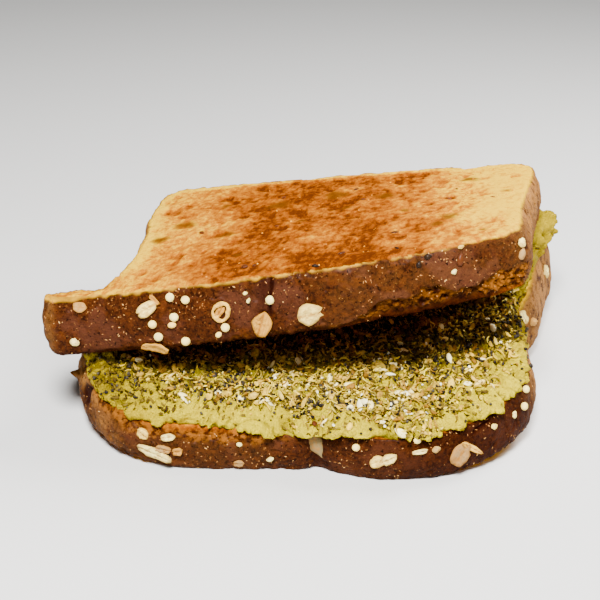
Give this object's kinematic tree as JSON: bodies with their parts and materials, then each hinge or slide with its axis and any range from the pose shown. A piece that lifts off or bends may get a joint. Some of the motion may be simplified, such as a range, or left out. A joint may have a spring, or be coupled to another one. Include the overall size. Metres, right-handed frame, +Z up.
{
  "type": "avocado toast sandwich",
  "caption": "Sandwich of toasted seeded bread slices held apart by a seasoned avocado spread, the upper slice set back and tilted open at the front.",
  "frame": {"origin": "on the ground plane under the middle of the whole sandwich's box", "axes": "+Z up, +X along the width of the slices to the right seen from their crown side, -Y towards the crowns, the sandwich's open front"},
  "size_m": [0.113, 0.1032, 0.0491],
  "materials": {
    "toasted_bread": "matte toasted wholemeal bread: dark brown seeded crust, golden to orange-brown porous crumb",
    "avocado": "moist mashed avocado, yellow-green, softly glossy"
  },
  "bodies": {
    "root": {"bottom_slice": "toasted_bread", "avocado_spread": "avocado", "top_slice": "toasted_bread"}
  },
  "joints": []
}
